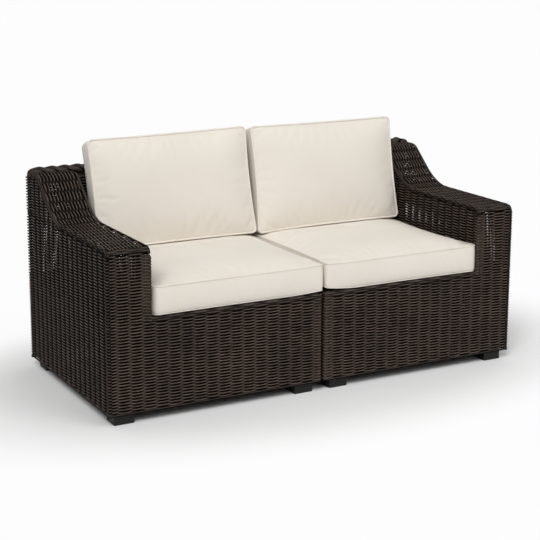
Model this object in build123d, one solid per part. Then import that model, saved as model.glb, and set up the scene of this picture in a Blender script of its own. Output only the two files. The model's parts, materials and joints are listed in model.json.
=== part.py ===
from build123d import *
import math
import os

os.makedirs("parts", exist_ok=True)

# Patio loveseat: two woven modules with one arm each stand side by side, and each carries a loose
# seat cushion and a loose back cushion. Sizes are in millimetres. Everything is laid out for the
# right module, with X measured from the seam between the modules and Y back from the front face.
# The left module is its mirror image.

# Overall form
loveseat_width = 1630.0
module_gap = 6.0
body_depth = 762.0
body_bottom = 38.0
seat_rail_top = 358.0
arm_height = 598.0
back_height = 740.0
arm_width = 156.0

# Sweep of the arm: a long dip and a short crest, joined by a straight slope. It ends in a short
# flat that runs up to the roll along the top of the back.
sweep_angle = 41.0
bend_rise_share = 0.9
crest_flat = 28.5
dip_radius = 240.0
crest_radius = 50.0
nose_radius = 28.0
corner_radius = 12.0
border_bevel = 6.0

# Back: its woven face leans, and a plaited roll covers its top
lean_angle = 12.0
back_top_depth = 70.0
roll_height = 26.0
roll_setback = 1.0
roll_edge_radius = 12.5
roll_end_radius = 22.0

# Weave: upright stakes with a strand in front and one behind. Twisted borders and the corners, where
# every strand lies outside, stand proud of the woven fields between them.
stake_thickness = 4.0
strand_diameter = 5.0
border_width = 14.0
corner_band = 20.0
field_recess = 3.0

# Welded frame of aluminium tube
tube = 25.0
tube_wall = 2.0
wide_tube = 40.0
deck_tube = 20.0
border_overhang = 9.0
tie_width = 12.0
tie_places_share = (0.06, 0.2, 0.34, 0.48, 0.62, 0.76)

# Seat deck of interlaced straps
strap_width = 50.0
strap_thickness = 2.0
strap_gap = 0.3
strap_ramp = 20.0
strap_end_margin = 2.0
deck_drop = 0.2
deck_clearance = 2.8
deck_side_clearance = 0.3
lengthwise_straps = 6
crosswise_straps = 5

# Feet, with their plates and screws
foot_width = 72.0
foot_side_inset = 24.0
foot_front_inset = 15.0
foot_seam_inset = 32.5
foot_edge = 2.5
plate_thickness = 3.0
screw_radius = 4.0
screw_hole_clearance = 0.5
thread_clearance = 0.1
screw_head_radius = 7.0
screw_head_height = 5.0
screw_recess_clearance = 1.5
screw_seat_depth = 24.0
nut_radius = 8.0
nut_height = 8.0
screw_end_gap = 1.0

# Seat cushion
cushion_rest_gap = 0.3
seat_front_setback = 12.0
seat_rear_gap = 2.8
seat_side_gap = 2.0
seat_thickness = 100.0
seat_crown = 22.0
seat_corner = 30.0
seat_draw_in = 5.0
seat_edge = 7.0
seat_rear_drop = 8.0

# Back cushion
back_cushion_height = 398.0
back_cushion_thickness = 115.0
back_cushion_lift = 0.5
back_cushion_seam_gap = 9.5
back_cushion_arm_gap = 15.5
back_cushion_shift = 12.0
back_crown = 26.0
back_corner = 20.0
back_draw_in = 6.0
back_edge = 7.0
piping_radius = 4.0

# Crown of a cushion: how far in from each edge a step lies, as a share of half the cushion's size,
# and its share of the whole rise
crown_steps_share = ((0, 0), (0.07, 0.45), (0.2, 0.78), (0.45, 1.0))

# One overrun serves every cut
overrun = 5.0

# Sizes that follow from those above
weave = stake_thickness + 2 * strand_diameter
half_width = loveseat_width / 2
seam_face = module_gap / 2
arm_inner_face = half_width - arm_width
seam_tube = seam_face + weave
arm_tube = arm_inner_face + weave
side_tube = half_width - weave
front_tube = weave
rear_tube = body_depth - weave
base_bottom = body_bottom + border_overhang
base_top = base_bottom + tube
seat_tube_top = seat_rail_top - weave
seat_tube_bottom = seat_tube_top - tube
arm_tube_bottom = arm_height - weave - tube
back_deck = back_height - weave
back_tube_bottom = back_deck - tube
deck_top = seat_rail_top - deck_drop - 2 * strap_thickness - strap_gap
deck_bottom = deck_top - deck_tube
foot_height = base_bottom - plate_thickness
lean = math.radians(lean_angle)


def back_face(height):
    return body_depth - back_top_depth - (back_deck - height) * math.tan(lean)


roll_front = back_face(back_deck + roll_height / 2) + roll_setback
crest_start = roll_front - crest_flat

# On a low rise the two bends take up most of it, at an angle less steep than the sweep's
arm_rise = back_height - arm_height
bend_radii = dip_radius + crest_radius
low_slope = math.acos(1 - bend_rise_share * arm_rise / bend_radii)
slope = min(math.radians(sweep_angle), low_slope)
slope_length = (arm_rise - bend_radii * (1 - math.cos(slope))) / math.sin(slope)
sweep_start = crest_start - bend_radii * math.sin(slope) - slope_length * math.cos(slope)

deck_front = front_tube + tube
deck_rear = back_face(seat_tube_top) - deck_clearance
deck_seam_side = seam_tube + tube
deck_arm_side = arm_inner_face - deck_side_clearance


# Shared helpers

def block(x0, x1, y0, y1, z0, z1):
    return Pos(x0, y0, z0) * Box(x1 - x0, y1 - y0, z1 - z0, align=(Align.MIN, Align.MIN, Align.MIN))


def straight_tube(x0, x1, y0, y1, z0, z1, along):
    grow_x = overrun if along == "x" else -tube_wall
    grow_y = overrun if along == "y" else -tube_wall
    grow_z = overrun if along == "z" else -tube_wall
    bore = block(x0 - grow_x, x1 + grow_x, y0 - grow_y, y1 + grow_y, z0 - grow_z, z1 + grow_z)
    return block(x0, x1, y0, y1, z0, z1) - bore


def tube_ring(x0, x1, y0, y1, z0, z1, width):
    wall = tube_wall
    body = block(x0, x1, y0, y1, z0, z1)
    body -= block(x0 + width, x1 - width, y0 + width, y1 - width, z0 - overrun, z1 + overrun)
    bore = block(x0 + wall, x1 - wall, y0 + wall, y1 - wall, z0 + wall, z1 - wall)
    inner = width - wall
    bore -= block(x0 + inner, x1 - inner, y0 + inner, y1 - inner, z0, z1)
    return body - bore


# An outline of Y and Z, given as edges or corner points, as a face that stands at the given X
def side_section(outline, x):
    return Pos(x, 0, 0) * (Plane.YZ * make_face(outline))


# The same outline made thick along X
def side_panel(outline, x0, x1):
    return extrude(side_section(outline, x0), amount=x1 - x0)


# The arm's top line at a depth below the woven surface, from y_from back to y_to
def sweep_edges(inset, y_from, y_to):
    dip = dip_radius + inset
    crest = crest_radius - inset
    dip_centre_z = arm_height + dip_radius
    crest_centre_z = back_height - crest_radius

    def dip_point(angle):
        return (sweep_start + dip * math.sin(angle), dip_centre_z - dip * math.cos(angle))

    def crest_point(angle):
        return (crest_start - crest * math.sin(angle), crest_centre_z + crest * math.cos(angle))

    return [
        Line((y_from, arm_height - inset), dip_point(0)),
        ThreePointArc(dip_point(0), dip_point(slope / 2), dip_point(slope)),
        Line(dip_point(slope), crest_point(slope)),
        ThreePointArc(crest_point(slope), crest_point(slope / 2), crest_point(0)),
        Line(crest_point(0), (y_to, back_height - inset)),
    ]


# The rounded nose of the arm at the same depth, from the front face up to the flat top
def nose_edge(inset):
    radius = nose_radius - inset
    centre_z = arm_height - nose_radius
    slant = math.sqrt(0.5)
    start = (inset, centre_z)
    middle = (nose_radius - radius * slant, centre_z + radius * slant)
    return ThreePointArc(start, middle, (nose_radius, arm_height - inset))


nose_bottom = arm_height - nose_radius
seat_field_top = seat_rail_top - border_width


# Rounds the upright edges of a panel that stand at the given X and Y
def round_upright(panel, x, y, radius):
    chosen = [
        edge for edge in panel.edges().filter_by(Axis.Z)
        if abs(edge.center().X - x) < tube_wall and abs(edge.center().Y - y) < tube_wall
    ]
    return fillet(chosen, radius)


# Woven skins

def front_weave():
    apron = block(seam_face, side_tube, 0, weave, body_bottom, seat_rail_top)
    arm_front = block(arm_inner_face, side_tube, 0, weave, seat_rail_top, nose_bottom)
    lip = block(seam_tube, arm_inner_face, weave, deck_front, seat_tube_top, seat_rail_top)
    skin = apron + arm_front + lip
    skin = round_upright(skin, arm_inner_face, 0, corner_radius)
    skin = round_upright(skin, seam_face, 0, corner_radius)
    low = body_bottom + border_width
    high_x = half_width - corner_band
    fields = block(seam_face + corner_band, high_x, -overrun, field_recess, low, seat_field_top)
    arm_field_x = arm_inner_face + corner_band
    fields += block(arm_field_x, high_x, -overrun, field_recess, low, nose_bottom - border_width)
    skin -= fields
    rail_edge = [
        edge for edge in skin.edges().filter_by(Axis.X)
        if abs(edge.center().Z - seat_rail_top) < tube_wall and edge.center().Y < tube_wall
    ]
    return fillet(rail_edge, border_bevel)


def outer_side_weave():
    low_front = (0, body_bottom)
    top_rear = (body_depth, back_deck)
    outline = [
        Line(low_front, (0, nose_bottom)),
        Line((0, nose_bottom), (weave, nose_bottom)),
        nose_edge(weave),
        *sweep_edges(weave, nose_radius, body_depth),
        Line(top_rear, (body_depth, body_bottom)),
        Line((body_depth, body_bottom), low_front),
    ]
    skin = side_panel(outline, side_tube, half_width)
    skin = round_upright(skin, half_width, 0, corner_radius)
    skin = round_upright(skin, half_width, body_depth, corner_radius)

    # The woven field reaches up to the arm's top band, and its cutter a little into that
    low = body_bottom + border_width
    over_top = weave / 2
    front_y = corner_band
    rear_y = body_depth - corner_band
    field = [
        Line((front_y, low), (front_y, arm_height - over_top)),
        *sweep_edges(over_top, front_y, rear_y),
        Line((rear_y, back_height - over_top), (rear_y, low)),
        Line((rear_y, low), (front_y, low)),
    ]
    return skin - side_panel(field, half_width - field_recess, half_width + overrun)


def arm_inner_weave():
    low_front = (weave, seat_tube_top)
    low_rear = (back_face(seat_tube_top), seat_tube_top)
    outline = [
        Line(low_front, (weave, nose_bottom)),
        nose_edge(weave),
        *sweep_edges(weave, nose_radius, back_face(back_deck)),
        Line((back_face(back_deck), back_deck), low_rear),
        Line(low_rear, low_front),
    ]
    return side_panel(outline, arm_inner_face, arm_tube)


# One band, bent over the nose and up the sweep, with a bevelled border along each side of its field
def arm_top_weave():
    depth = weave / 2
    path = Plane.YZ * Wire([nose_edge(depth), *sweep_edges(depth, nose_radius, roll_front)])
    path = Pos(arm_inner_face + arm_width / 2, 0, 0) * path
    section = Rectangle(arm_width, weave)
    section = chamfer(section.vertices().group_by(Axis.Y)[0], border_bevel)
    section -= Pos(0, -depth) * Rectangle(arm_width - 2 * border_width, 2 * field_recess)
    start = Plane(origin=path @ 0, x_dir=(1, 0, 0), z_dir=path % 0)
    return sweep(start * section, path=path)


def back_outer_weave():
    skin = block(seam_face, side_tube, rear_tube, body_depth, body_bottom, back_deck)
    skin = round_upright(skin, seam_face, body_depth, corner_radius)
    sides = (seam_face + corner_band, half_width - corner_band)
    heights = (body_bottom + border_width, back_deck - border_width)
    return skin - block(*sides, body_depth - field_recess, body_depth + overrun, *heights)


def leaning_band(near, far, z0, z1, x0, x1):
    outline = Polyline(
        (back_face(z0) + near, z0),
        (back_face(z1) + near, z1),
        (back_face(z1) + far, z1),
        (back_face(z0) + far, z0),
        close=True,
    )
    return side_panel(outline, x0, x1)


leaning_weave = weave / math.cos(lean)
leaning_tube = tube / math.cos(lean)


def back_inner_weave():
    return leaning_band(0, leaning_weave, seat_tube_top, back_deck, seam_tube, arm_tube)


def seam_side_weave():
    outline = Polyline(
        (weave, body_bottom),
        (rear_tube, body_bottom),
        (rear_tube, back_deck),
        (back_face(back_deck), back_deck),
        (back_face(seat_rail_top), seat_rail_top),
        (weave, seat_rail_top),
        close=True,
    )
    skin = side_panel(outline, seam_face, seam_tube)
    lip = block(seam_tube, deck_seam_side, deck_front, deck_rear, seat_tube_top, seat_rail_top)
    depths = (corner_band, body_depth - corner_band)
    heights = (body_bottom + border_width, seat_field_top)
    return skin + lip - block(seam_face - overrun, seam_face + field_recess, *depths, *heights)


def back_top_roll():
    width = body_depth - roll_front
    middle_y = roll_front + width / 2
    middle_z = back_deck + roll_height / 2
    length = half_width - seam_face
    section = Pos(middle_y, middle_z) * RectangleRounded(width, roll_height, roll_edge_radius)
    bar = Pos(seam_face, 0, 0) * (Plane.YZ * extrude(section, amount=length))
    plan = Polyline(
        (seam_face, roll_front),
        (half_width, roll_front),
        (half_width, body_depth),
        (seam_face, body_depth),
        close=True,
    )
    plan_face = make_face(plan)
    outer_corners = plan_face.vertices().sort_by(Axis.X)[-2:]
    plan_face = fillet(outer_corners, roll_end_radius)
    return bar & Pos(0, 0, back_deck) * extrude(plan_face, amount=roll_height)


# Welded frame

def base_frame():
    return tube_ring(seam_tube, side_tube, front_tube, rear_tube, base_bottom, base_top, tube)


def post(x0, y0, z1):
    return straight_tube(x0, x0 + tube, y0, y0 + tube, base_top, z1, "z")


def seam_posts():
    return [
        post(seam_tube, front_tube, seat_tube_top),
        post(seam_tube, rear_tube - tube, back_tube_bottom),
    ]


def arm_posts():
    return [
        post(side_tube - tube, front_tube, arm_tube_bottom),
        post(arm_tube, front_tube, arm_tube_bottom),
        post(side_tube - tube, rear_tube - tube, back_tube_bottom),
        post(arm_tube, rear_tube - tube, back_tube_bottom),
    ]


def seat_rails():
    z0 = seat_tube_bottom
    z1 = seat_tube_top
    rear_post = rear_tube - tube
    return [
        straight_tube(deck_seam_side, arm_tube, front_tube, deck_front, z0, z1, "x"),
        straight_tube(deck_seam_side, arm_tube, deck_rear, deck_rear + wide_tube, z0, z1, "x"),
        straight_tube(seam_tube, deck_seam_side, deck_front, rear_post, z0, z1, "y"),
        straight_tube(arm_tube, arm_tube + tube, deck_front, rear_post, z0, z1, "y"),
    ]


def outer_side_rail():
    rail_ends = (front_tube + tube, rear_tube - tube)
    return straight_tube(side_tube - tube, side_tube, *rail_ends, seat_tube_bottom, seat_tube_top, "y")


# A square tube bent to the sweep, under the arm's woven top
def rail_path(y_end):
    depth = weave + tube / 2
    return Plane.YZ * Wire(sweep_edges(depth, nose_radius, y_end))


def bent_rail(x0, y_end):
    path = Pos(x0 + tube / 2, 0, 0) * rail_path(y_end)
    section = Rectangle(tube, tube) - Rectangle(tube - 2 * tube_wall, tube - 2 * tube_wall)
    start = Plane(origin=path @ 0, x_dir=(1, 0, 0), z_dir=path % 0)
    return sweep(start * section, path=path)


def arm_rail_outer():
    return bent_rail(side_tube - tube, rear_tube)


def arm_rail_inner():
    return bent_rail(arm_tube, rear_tube - wide_tube)


def arm_ties():
    ends = (arm_tube + tube, side_tube - tube)
    path = rail_path(rear_tube)
    half = tie_width / 2
    ties = []
    for share in tie_places_share:
        place = path @ share
        sides = (place.Y - half, place.Y + half, place.Z - half, place.Z + half)
        ties.append(straight_tube(*ends, *sides, "x"))
    return ties


def back_top_rail():
    ends = (seam_tube, side_tube - tube)
    return straight_tube(*ends, rear_tube - wide_tube, rear_tube, back_tube_bottom, back_deck, "x")


def back_uprights():
    uprights = []
    for x0 in (deck_seam_side, arm_tube - tube):
        near = leaning_weave
        far = leaning_weave + leaning_tube
        outer = leaning_band(near, far, seat_tube_top, back_tube_bottom, x0, x0 + tube)
        wall = tube_wall / math.cos(lean)
        z0 = seat_tube_top - overrun
        z1 = back_tube_bottom + overrun
        bore = leaning_band(near + wall, far - wall, z0, z1, x0 + tube_wall, x0 + tube - tube_wall)
        uprights.append(outer - bore)
    return uprights


# Seat deck

def deck_ring():
    sides = (deck_seam_side, deck_arm_side, deck_front, deck_rear)
    return tube_ring(*sides, deck_bottom, deck_top, deck_tube)


# Middles of evenly spaced straps between the two inner faces of the deck ring
def strap_middles(low, high, count):
    pitch = (high - low) / count
    return [low + pitch * (index + 0.5) for index in range(count)]


# Side view of one strap that steps up and down between its crossings
def strap_outline(start, end, crossings, first_is_high):
    high = strap_thickness + strap_gap
    points = [(start, 0)]
    level = 0
    before = start
    for index, middle in enumerate(crossings):
        wanted = high if (index % 2 == 0) == first_is_high else 0
        if wanted != level:
            turn = (before + middle) / 2
            points.append((turn - strap_ramp / 2, level))
            points.append((turn + strap_ramp / 2, wanted))
        level = wanted
        before = middle
    if level > 0:
        turn = (before + end) / 2
        points.append((turn - strap_ramp / 2, level))
        points.append((turn + strap_ramp / 2, 0))
    points.append((end, 0))
    lower = [(along, deck_top + height) for along, height in points]
    upper = [(along, height + strap_thickness) for along, height in reversed(lower)]
    return Polyline(*lower, *upper, close=True)


deck_middles_x = strap_middles(deck_seam_side + deck_tube, deck_arm_side - deck_tube, lengthwise_straps)
deck_middles_y = strap_middles(deck_front + deck_tube, deck_rear - deck_tube, crosswise_straps)


def straps_lengthwise():
    ends = (deck_front + strap_end_margin, deck_rear - strap_end_margin)
    straps = []
    for index, middle in enumerate(deck_middles_x):
        outline = strap_outline(*ends, deck_middles_y, index % 2 == 0)
        straps.append(side_panel(outline, middle - strap_width / 2, middle + strap_width / 2))
    return straps


def straps_crosswise():
    ends = (deck_seam_side + strap_end_margin, deck_arm_side - strap_end_margin)
    straps = []
    for index, middle in enumerate(deck_middles_y):
        face = make_face(strap_outline(*ends, deck_middles_x, index % 2 == 1))
        front = Plane(origin=(0, middle + strap_width / 2, 0), x_dir=(1, 0, 0), z_dir=(0, -1, 0))
        straps.append(extrude(front * face, amount=strap_width))
    return straps


# Feet

foot_places = {
    "front_seam": (seam_face + foot_seam_inset, foot_front_inset),
    "front_outer": (half_width - foot_side_inset - foot_width, foot_front_inset),
    "rear_seam": (seam_face + foot_seam_inset, body_depth - foot_front_inset - foot_width),
    "rear_outer": (
        half_width - foot_side_inset - foot_width,
        body_depth - foot_front_inset - foot_width,
    ),
}


def upright_rod(x, y, z0, z1, radius):
    return Pos(x, y, z0) * Cylinder(radius, z1 - z0, align=(Align.CENTER, Align.CENTER, Align.MIN))


def foot_middle(place):
    x0, y0 = foot_places[place]
    return (x0 + foot_width / 2, y0 + foot_width / 2)


def foot(place):
    x0, y0 = foot_places[place]
    x, y = foot_middle(place)
    body = block(x0, x0 + foot_width, y0, y0 + foot_width, 0, foot_height)
    body = chamfer(body.edges().filter_by(Axis.Z), foot_edge)
    hole = screw_radius + screw_hole_clearance
    recess = RegularPolygon(screw_head_radius + screw_recess_clearance, 6)
    body -= upright_rod(x, y, -overrun, foot_height + overrun, hole)
    return body - Pos(x, y, -overrun) * extrude(recess, amount=screw_seat_depth + overrun)


def corner_plates():
    plates = []
    for place, (x0, y0) in foot_places.items():
        x, y = foot_middle(place)
        plate = block(x0, x0 + foot_width, y0, y0 + foot_width, foot_height, base_bottom)
        plate += Pos(x, y, base_bottom) * extrude(RegularPolygon(nut_radius, 6), amount=nut_height)
        hole = screw_radius + thread_clearance
        plates.append(plate - upright_rod(x, y, foot_height - overrun, base_top, hole))
    return plates


def foot_screws():
    screws = []
    for place in foot_places:
        x, y = foot_middle(place)
        head_bottom = screw_seat_depth - screw_head_height
        tip = base_bottom + nut_height - screw_end_gap
        head = Pos(x, y, head_bottom) * RegularPolygon(screw_head_radius, 6)
        screw = extrude(head, amount=screw_head_height)
        screws.append(screw + upright_rod(x, y, screw_seat_depth, tip, screw_radius))
    return screws


# Cushions

# A rectangle with round corners whose sides are drawn in between them
def drawn_in_outline(width, length, corner, draw_in):
    cut = corner * (1 - math.sqrt(0.5))
    across = (width / 2, length / 2)
    along = (length / 2, width / 2)
    edges = []
    for turn, (half, reach) in ((0, across), (90, along), (180, across), (270, along)):
        side = ThreePointArc((half, corner - reach), (half - draw_in, 0), (half, reach - corner))
        bend = ThreePointArc((half, reach - corner), (half - cut, reach - cut), (half - corner, reach))
        edges += [Rot(0, 0, turn) * side, Rot(0, 0, turn) * bend]
    return make_face(edges)


# Places across a cushion from one edge to the other, each with its share of the crown's rise
def crown_places(size):
    rising = [(step * size / 2, rise) for step, rise in crown_steps_share]
    falling = [(size - place, rise) for place, rise in reversed(rising)]
    return [(-overrun, 0), *rising, *falling, (size + overrun, 0)]


# A block whose crowned top is lofted from side to side. The top's seam drops towards the far end.
def crowned_block(width, length, seam_height, drop, crown):
    sections = []
    for x, across_share in crown_places(width):
        top = [
            (y, seam_height - drop * y / length + crown * across_share * along_share)
            for y, along_share in crown_places(length)
        ]
        outline = Polyline(*top, (length + overrun, -overrun), (-overrun, -overrun), close=True)
        sections.append(side_section(outline, x - width / 2))
    return Pos(0, -length / 2, 0) * loft(sections, ruled=True)


def cushion(width, length, corner, draw_in, edge, seam_height, drop, crown):
    plan = drawn_in_outline(width, length, corner, draw_in)
    block_height = seam_height + crown + overrun
    sides = extrude(plan, amount=block_height)
    sides = chamfer(sides.faces().sort_by(Axis.Z)[0].edges(), edge)
    return sides & crowned_block(width, length, seam_height, drop, crown)


seat_width = arm_inner_face - seat_side_gap - seam_face
seat_length = back_face(seat_rail_top) - seat_rear_gap - seat_front_setback
seat_top_rear = seat_rail_top + cushion_rest_gap + seat_thickness - seat_rear_drop


def seat_cushion():
    size = (seat_width, seat_length, seat_corner, seat_draw_in, seat_edge)
    form = cushion(*size, seat_thickness, seat_rear_drop, seat_crown)
    middle_x = seam_face + seat_width / 2
    middle_y = seat_front_setback + seat_length / 2
    return Pos(middle_x, middle_y, seat_rail_top + cushion_rest_gap) * form


back_cushion_low_x = seam_face + back_cushion_seam_gap
back_cushion_high_x = arm_inner_face - back_cushion_arm_gap


# The back cushion is made flat on its rear face, then leant against the back. Both cushions lie a
# little to the same side of their seats, so the shift in X differs between the modules.
def back_cushion(side):
    width = back_cushion_high_x - back_cushion_low_x - 2 * piping_radius
    length = back_cushion_height - 2 * piping_radius
    front = back_cushion_thickness
    form = cushion(width, length, back_corner, back_draw_in, back_edge, front, 0, back_crown)
    outer_corner = back_corner + piping_radius
    round_outside = drawn_in_outline(
        back_cushion_high_x - back_cushion_low_x, back_cushion_height, outer_corner, back_draw_in)
    form += Pos(0, 0, front - 2 * piping_radius) * extrude(round_outside, amount=2 * piping_radius)
    foot = seat_top_rear + back_cushion_lift
    foot_y = back_face(foot) - cushion_rest_gap / math.cos(lean)
    middle_x = (back_cushion_low_x + back_cushion_high_x) / 2 + side * back_cushion_shift
    leaning = Plane(
        origin=(middle_x, foot_y, foot),
        x_dir=(1, 0, 0),
        z_dir=(0, -math.cos(lean), math.sin(lean)),
    )
    return leaning * Pos(0, back_cushion_height / 2, 0) * form


# Writes one node for each side, mirrored for the left module
def save(name, side, pieces):
    placed = Pos(0, -body_depth / 2, 0) * Compound(pieces if isinstance(pieces, list) else [pieces])
    if side < 0:
        placed = mirror(placed, about=Plane.YZ)
    solids = placed.solids()
    node = solids[0] if len(solids) == 1 else Compound(solids)
    export_step(node, f"parts/{name}.step")


shared_pieces = {
    "front_weave": front_weave(),
    "outer_side_weave": outer_side_weave(),
    "arm_inner_weave": arm_inner_weave(),
    "arm_top_weave": arm_top_weave(),
    "back_outer_weave": back_outer_weave(),
    "back_inner_weave": back_inner_weave(),
    "seam_side_weave": seam_side_weave(),
    "back_top_roll": back_top_roll(),
    "base_frame": base_frame(),
    "seam_posts": seam_posts(),
    "arm_posts": arm_posts(),
    "seat_rails": seat_rails(),
    "outer_side_rail": outer_side_rail(),
    "arm_rail_outer": arm_rail_outer(),
    "arm_rail_inner": arm_rail_inner(),
    "arm_ties": arm_ties(),
    "back_top_rail": back_top_rail(),
    "back_uprights": back_uprights(),
    "deck_ring": deck_ring(),
    "straps_lengthwise": straps_lengthwise(),
    "straps_crosswise": straps_crosswise(),
    "corner_plates": corner_plates(),
    "foot_screws": foot_screws(),
    "seat_cushion": seat_cushion(),
    **{f"foot_{place}": foot(place) for place in foot_places},
}

for side, side_name in ((-1, "left"), (1, "right")):
    for piece_name, pieces in shared_pieces.items():
        save(f"{side_name}_{piece_name}", side, pieces)
    save(f"{side_name}_back_cushion", side, back_cushion(side))
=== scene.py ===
import json
import math

import bpy
import numpy as np
from mathutils import Matrix, Vector


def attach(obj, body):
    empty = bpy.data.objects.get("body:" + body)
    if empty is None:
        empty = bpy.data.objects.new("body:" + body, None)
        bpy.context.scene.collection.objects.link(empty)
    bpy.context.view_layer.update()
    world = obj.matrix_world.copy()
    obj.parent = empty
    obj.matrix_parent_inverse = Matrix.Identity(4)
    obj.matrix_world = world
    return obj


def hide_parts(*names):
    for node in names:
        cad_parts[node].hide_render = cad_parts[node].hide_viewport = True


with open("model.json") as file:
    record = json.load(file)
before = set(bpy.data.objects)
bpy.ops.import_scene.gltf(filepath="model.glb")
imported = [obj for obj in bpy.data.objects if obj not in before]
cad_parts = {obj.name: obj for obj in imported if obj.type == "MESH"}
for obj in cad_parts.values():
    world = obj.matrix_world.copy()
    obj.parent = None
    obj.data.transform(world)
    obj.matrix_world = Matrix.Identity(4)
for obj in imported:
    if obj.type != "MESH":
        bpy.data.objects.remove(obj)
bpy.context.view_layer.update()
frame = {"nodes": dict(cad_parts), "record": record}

scene = bpy.context.scene
scene.view_settings.view_transform = "Standard"
sides = {"left": -1, "right": 1}  # each module's name and the sign of its X


# Node trees

class Link:  # one output socket, with the operators that the trees below use
    def __init__(self, net, socket):
        self.net = net
        self.socket = socket

    def math(self, operation, *values):
        return self.net.add("ShaderNodeMath", {"operation": operation}, values)

    def __add__(self, other): return self.math("ADD", self, other)
    def __radd__(self, other): return self.math("ADD", other, self)
    def __sub__(self, other): return self.math("SUBTRACT", self, other)
    def __rsub__(self, other): return self.math("SUBTRACT", other, self)
    def __mul__(self, other): return self.math("MULTIPLY", self, other)
    def __rmul__(self, other): return self.math("MULTIPLY", other, self)
    def __pow__(self, other): return self.math("POWER", self, other)
    def sine(self): return self.math("SINE", self)
    def cosine(self): return self.math("COSINE", self)


class Net:  # builds one node tree
    def __init__(self, tree):
        self.tree = tree

    # inputs are values or links, in the order of the sockets or by their names
    def add(self, kind, settings=None, inputs=(), out=0):
        node = self.tree.nodes.new(kind)
        for name, value in (settings or {}).items():
            setattr(node, name, value)
        offered = [socket for socket in node.inputs if socket.enabled]
        if isinstance(inputs, dict):
            pairs = [(next(s for s in offered if s.name == name), value) for name, value in inputs.items()]
        else:
            pairs = list(zip(offered, inputs))
        for socket, value in pairs:
            if isinstance(value, Link):
                self.tree.links.new(value.socket, socket)
            elif value is not None:
                socket.default_value = value
        outs = [socket for socket in node.outputs if socket.enabled]
        if not outs:
            return None
        return Link(self, outs[out] if isinstance(out, int) else next(s for s in outs if s.name == out))

    def noise(self, place, scale, detail=2.0, roughness=0.5):
        values = {"Vector": place, "Scale": scale, "Detail": detail, "Roughness": roughness}
        return self.add("ShaderNodeTexNoise", {}, values)

    def objectPlace(self):
        return self.add("ShaderNodeTexCoord", out="Object")

    def axis(self, vector, letter):
        return self.add("ShaderNodeSeparateXYZ", {}, (vector,), out=letter)

    def attribute(self, name, out="Fac"):
        return self.add("ShaderNodeAttribute", {"attribute_name": name}, out=out)

    def smoothStep(self, value, *ends):  # ends: from, to, and the two values that they become
        return self.add("ShaderNodeMapRange", {"interpolation_type": "SMOOTHSTEP"}, (value, *ends))

    def spread(self, value):  # the middle range of a noise, over 0 to 1
        return self.add("ShaderNodeMapRange", {}, (value, 0.3, 0.7, 0.0, 1.0))

    def vector(self, operation, *values):
        return self.add("ShaderNodeVectorMath", {"operation": operation}, values)

    def mixColours(self, factor, first, second):
        return self.add("ShaderNodeMix", {"data_type": "RGBA"}, (factor, first, second))

    def mixShaders(self, factor, first, second):
        return self.add("ShaderNodeMixShader", {}, (factor, first, second))

    def bump(self, height, strength, distance):
        values = {"Strength": strength, "Distance": distance, "Height": height}
        return self.add("ShaderNodeBump", {}, values)

    def principled(self, **values):
        inputs = {name.replace("_", " "): value for name, value in values.items()}
        return self.add("ShaderNodeBsdfPrincipled", {}, inputs)

    def surface(self, shader):
        self.add("ShaderNodeOutputMaterial", {}, {"Surface": shader})


def newMaterial(name):
    material = bpy.data.materials.new(name)
    material.use_nodes = True
    material.node_tree.nodes.clear()
    return material, Net(material.node_tree)


def newObject(name, data):
    made = bpy.data.objects.new(name, data)
    scene.collection.objects.link(made)
    return made


# Finishes

wickerLook = {
    # deep is a painted shade colour; front, facing and leastLit set where that painted shade falls
    "dark": (0.032, 0.023, 0.018, 1), "light": (0.132, 0.092, 0.070, 1), "deep": (0.0045, 0.0038, 0.0032, 1),
    "borderDark": (0.024, 0.016, 0.012, 1), "borderLight": (0.080, 0.055, 0.041, 1),
    "roughness": 0.38, "streaks": 38.0, "patches": 9.0, "grain": 900.0,
    "front": (0.28, 0.78), "facing": (0.05, 0.85), "leastLit": 0.03,
}


def makeWicker(name, dark, light):
    material, net = newMaterial(name)
    strand = net.attribute("strandPlace", "Vector")
    place = net.objectPlace()
    streaks = net.noise(strand, wickerLook["streaks"], 3.0, 0.6)
    patches = net.noise(place, wickerLook["patches"])
    grain = net.noise(place, wickerLook["grain"])
    shade = net.spread(streaks * 0.7 + patches * 0.3)
    ahead = net.smoothStep(net.attribute("front"), *wickerLook["front"], 0.0, 1.0)  # 0 behind a stake, where the strand is drawn in painted shade
    facing = net.attribute("facing")  # low on a strand's sides that face down or inward, drawn in painted shade
    lit = net.smoothStep(facing, *wickerLook["facing"], wickerLook["leastLit"], 1.0)
    shiny = net.principled(
        Base_Color=net.mixColours(shade, dark, light), Specular_IOR_Level=0.3,
        Normal=net.bump(grain + streaks * 0.5, 0.25, 0.0003),
        Roughness=wickerLook["roughness"] + (grain - 0.5) * 0.12)
    # painted shade: a dark, unglossy shader for strand parts behind the stakes and on their undersides
    paintedShade = net.principled(Base_Color=wickerLook["deep"], Specular_IOR_Level=0.05, Roughness=0.9)
    net.surface(net.mixShaders(ahead * lit, paintedShade, shiny))
    return material


wicker = makeWicker("espressoWicker", wickerLook["dark"], wickerLook["light"])
wickerBorder = makeWicker("espressoBorder", wickerLook["borderDark"], wickerLook["borderLight"])


canvasLook = {
    "colour": (0.800, 0.745, 0.665, 1), "pale": (0.835, 0.785, 0.710, 1),
    "seam": (0.680, 0.625, 0.550, 1), "threads": 900.0, "slubs": 260.0, "cloud": 5.0, "roughness": 0.85,
}


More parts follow.
